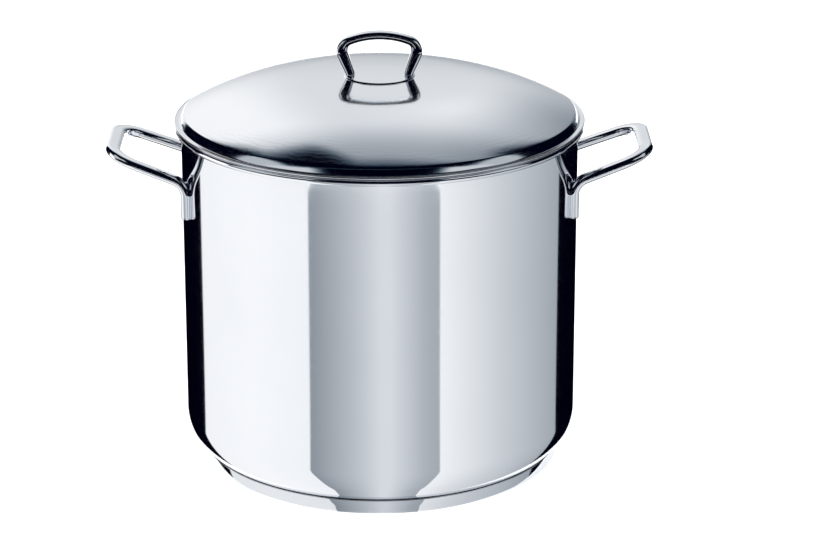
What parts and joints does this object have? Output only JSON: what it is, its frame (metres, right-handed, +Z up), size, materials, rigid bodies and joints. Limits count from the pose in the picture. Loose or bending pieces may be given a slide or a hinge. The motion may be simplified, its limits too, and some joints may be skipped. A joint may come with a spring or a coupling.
{
  "type": "water bath canner",
  "caption": "Tall cylindrical stainless steel pot with two rod loop side handles, a domed lid with a loop handle, a capsule base and a folding wire jar rack inside.",
  "frame": {"origin": "centre of the flat underside of the base, on the surface that the pot stands on", "axes": "+Z up along the pot's axis, +X through the right side handle, -Y towards the front"},
  "size_m": [0.3868, 0.2914, 0.3146],
  "materials": {
    "polished_steel": "mirror-polished stainless steel sheet and rod",
    "turned_steel": "turned and polished stainless steel cap",
    "aluminium_core": "plain rolled aluminium disc",
    "rack_wire": "bright drawn and welded stainless steel wire"
  },
  "bodies": {
    "pot": {"pot_body": "polished_steel", "base_core": "aluminium_core", "base_cap": "turned_steel", "left_handle": "polished_steel", "right_handle": "polished_steel"},
    "lid": {"lid_shell": "polished_steel", "lid_handle": "polished_steel"},
    "rack": {"rack_rim_ring": "rack_wire", "rack_outer_ring": "rack_wire", "rack_middle_ring": "rack_wire", "rack_inner_ring": "rack_wire", "rack_spoke_1": "rack_wire", "rack_spoke_2": "rack_wire", "rack_spoke_3": "rack_wire", "rack_spoke_4": "rack_wire", "rack_spoke_5": "rack_wire", "rack_spoke_6": "rack_wire", "rack_foot_1": "rack_wire", "rack_foot_2": "rack_wire", "rack_foot_3": "rack_wire", "rack_left_hinge_bar": "rack_wire", "rack_right_hinge_bar": "rack_wire"},
    "left_bail": {"rack_left_bail": "rack_wire"},
    "right_bail": {"rack_right_bail": "rack_wire"}
  },
  "joints": [
    {"name": "lid_lift", "type": "slide", "parent": "pot", "child": "lid", "axis": [0, 0, 1], "range_m": [0, 0.15]},
    {"name": "rack_lift", "type": "slide", "parent": "pot", "child": "rack", "axis": [0, 0, 1], "range_m": [0, 0.1]},
    {"name": "left_bail_fold", "type": "hinge", "parent": "rack", "child": "left_bail", "pos_m": [-0.111, 0, 0.0319], "axis": [0, 1, 0], "range_deg": [0, 100]},
    {"name": "right_bail_fold", "type": "hinge", "parent": "rack", "child": "right_bail", "pos_m": [0.111, 0, 0.0319], "axis": [0, -1, 0], "range_deg": [0, 100]}
  ]
}
